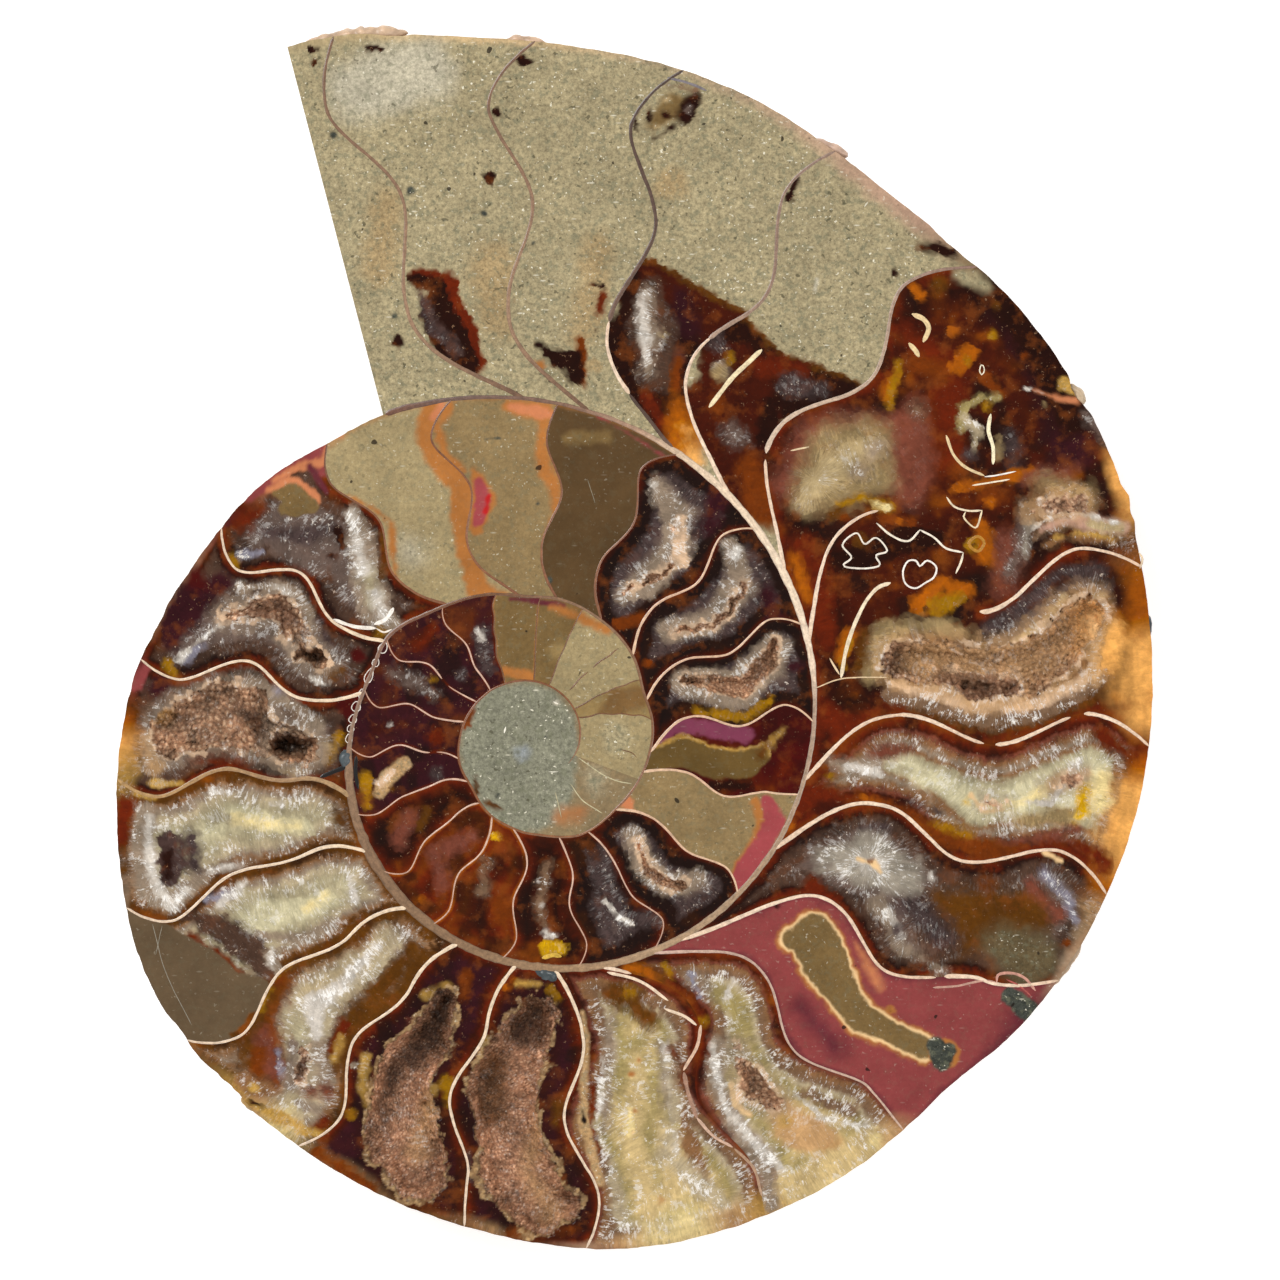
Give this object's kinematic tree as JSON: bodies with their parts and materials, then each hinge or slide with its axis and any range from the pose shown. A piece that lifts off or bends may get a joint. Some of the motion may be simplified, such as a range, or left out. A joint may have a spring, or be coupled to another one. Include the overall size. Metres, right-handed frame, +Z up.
{
  "type": "ammonite fossil half",
  "caption": "Sawn and polished half of an ammonite fossil lying on its coiled flank, with the chambered cut face up; a natural display piece.",
  "frame": {"origin": "under the middle of the piece, on the surface that it lies on", "axes": "+Z up, normal to the polished cut face, which is on top; +Y towards the sawn mouth's tip, along the longest extent; +X to the right seen from above"},
  "size_m": [0.1272, 0.1492, 0.0188],
  "materials": {
    "fossil_stone": "polished calcite and siltstone on the cut face, satin fossil shell on the flank"
  },
  "bodies": {
    "root": {"ammonite_half": "fossil_stone"}
  },
  "joints": []
}
